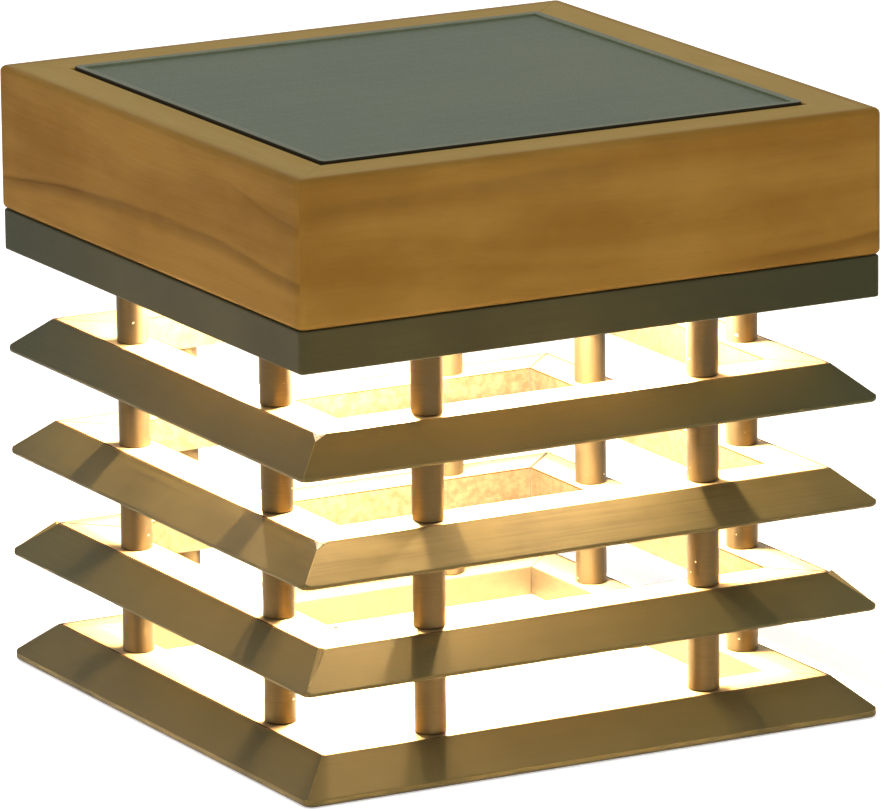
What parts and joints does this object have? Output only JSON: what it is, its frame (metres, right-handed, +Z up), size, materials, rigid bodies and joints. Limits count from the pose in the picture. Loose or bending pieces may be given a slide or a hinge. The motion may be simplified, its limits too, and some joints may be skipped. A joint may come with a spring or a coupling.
{
  "type": "solar wall light",
  "caption": "Square solar garden lantern: a teak frame round a solar panel over bevelled metal louvres on round spacers, lit from inside, with keyhole hangers at the back.",
  "frame": {"origin": "middle of the underside, on the surface that the base frame stands on", "axes": "+Z up, +Y towards the wall, +X to the right seen from the front"},
  "size_m": [0.181, 0.181, 0.1735],
  "materials": {
    "teak": "oiled, fine grain along each bar",
    "dowel_wood": "plain",
    "louvre_metal": "brushed along each bar, dark bronze",
    "spacer_metal": "turned, dark bronze",
    "tray_metal": "satin, dark bronze",
    "fastener_steel": "bright",
    "plate_steel": "zinc plated",
    "collar_metal": "turned, dark bronze",
    "bezel_metal": "satin, grey",
    "panel_glass": "slightly frosted",
    "solar_cell": "dark grey cell strips",
    "backsheet_white": "matt",
    "seal_rubber": "matt",
    "black_plastic": "moulded",
    "component_black": "moulded",
    "button_black": "moulded",
    "battery_can": "metal can in a blue wrap",
    "board_green": "solder mask",
    "board_white": "white solder mask",
    "led_phosphor": "warm phosphor",
    "cover_clear": "clear, moulded",
    "floor_white": "white, reflecting",
    "lead_black": "insulated",
    "lead_red": "insulated"
  },
  "bodies": {
    "lantern": {"teak_front_bar": "teak", "teak_right_bar": "teak", "teak_back_bar": "teak", "teak_left_bar": "teak", "base_front_bar": "louvre_metal", "base_right_bar": "louvre_metal", "base_back_bar": "louvre_metal", "base_left_bar": "louvre_metal", "lower_louvre_front_bar": "louvre_metal", "lower_louvre_right_bar": "louvre_metal", "lower_louvre_back_bar": "louvre_metal", "lower_louvre_left_bar": "louvre_metal", "middle_louvre_front_bar": "louvre_metal", "middle_louvre_right_bar": "louvre_metal", "middle_louvre_back_bar": "louvre_metal", "middle_louvre_left_bar": "louvre_metal", "upper_louvre_front_bar": "louvre_metal", "upper_louvre_right_bar": "louvre_metal", "upper_louvre_back_bar": "louvre_metal", "upper_louvre_left_bar": "louvre_metal", "base_spacers": "spacer_metal", "lower_spacers": "spacer_metal", "middle_spacers": "spacer_metal", "upper_spacers": "spacer_metal", "mitre_dowels": "dowel_wood", "top_tray": "tray_metal", "frame_seal": "seal_rubber", "frame_screws": "fastener_steel", "tie_bolts": "fastener_steel", "tie_nuts": "fastener_steel", "floor_plate": "floor_white", "floor_screws": "fastener_steel", "panel_bezel": "bezel_metal", "panel_glass": "panel_glass", "solar_cells": "solar_cell", "panel_backsheet": "backsheet_white", "panel_seal": "seal_rubber", "panel_junction_box": "black_plastic", "battery_cells": "battery_can", "battery_holder": "black_plastic", "control_board": "board_green", "board_components": "component_black", "board_standoffs": "fastener_steel", "board_screws": "fastener_steel", "tact_switch": "component_black", "button_collar": "collar_metal", "led_board": "board_white", "led_chips": "led_phosphor", "led_cover": "cover_clear", "cover_seal": "seal_rubber", "cover_screws": "fastener_steel", "panel_lead": "lead_black", "battery_lead": "lead_red", "led_lead": "lead_black", "keyhole_plates": "plate_steel", "keyhole_screws": "fastener_steel"},
    "button": {"push_button": "button_black"}
  },
  "joints": [
    {"name": "button_press", "type": "slide", "parent": "lantern", "child": "button", "axis": [0, 0, 1], "range_m": [0, 0.0012], "stiffness_N_per_m": 400}
  ]
}
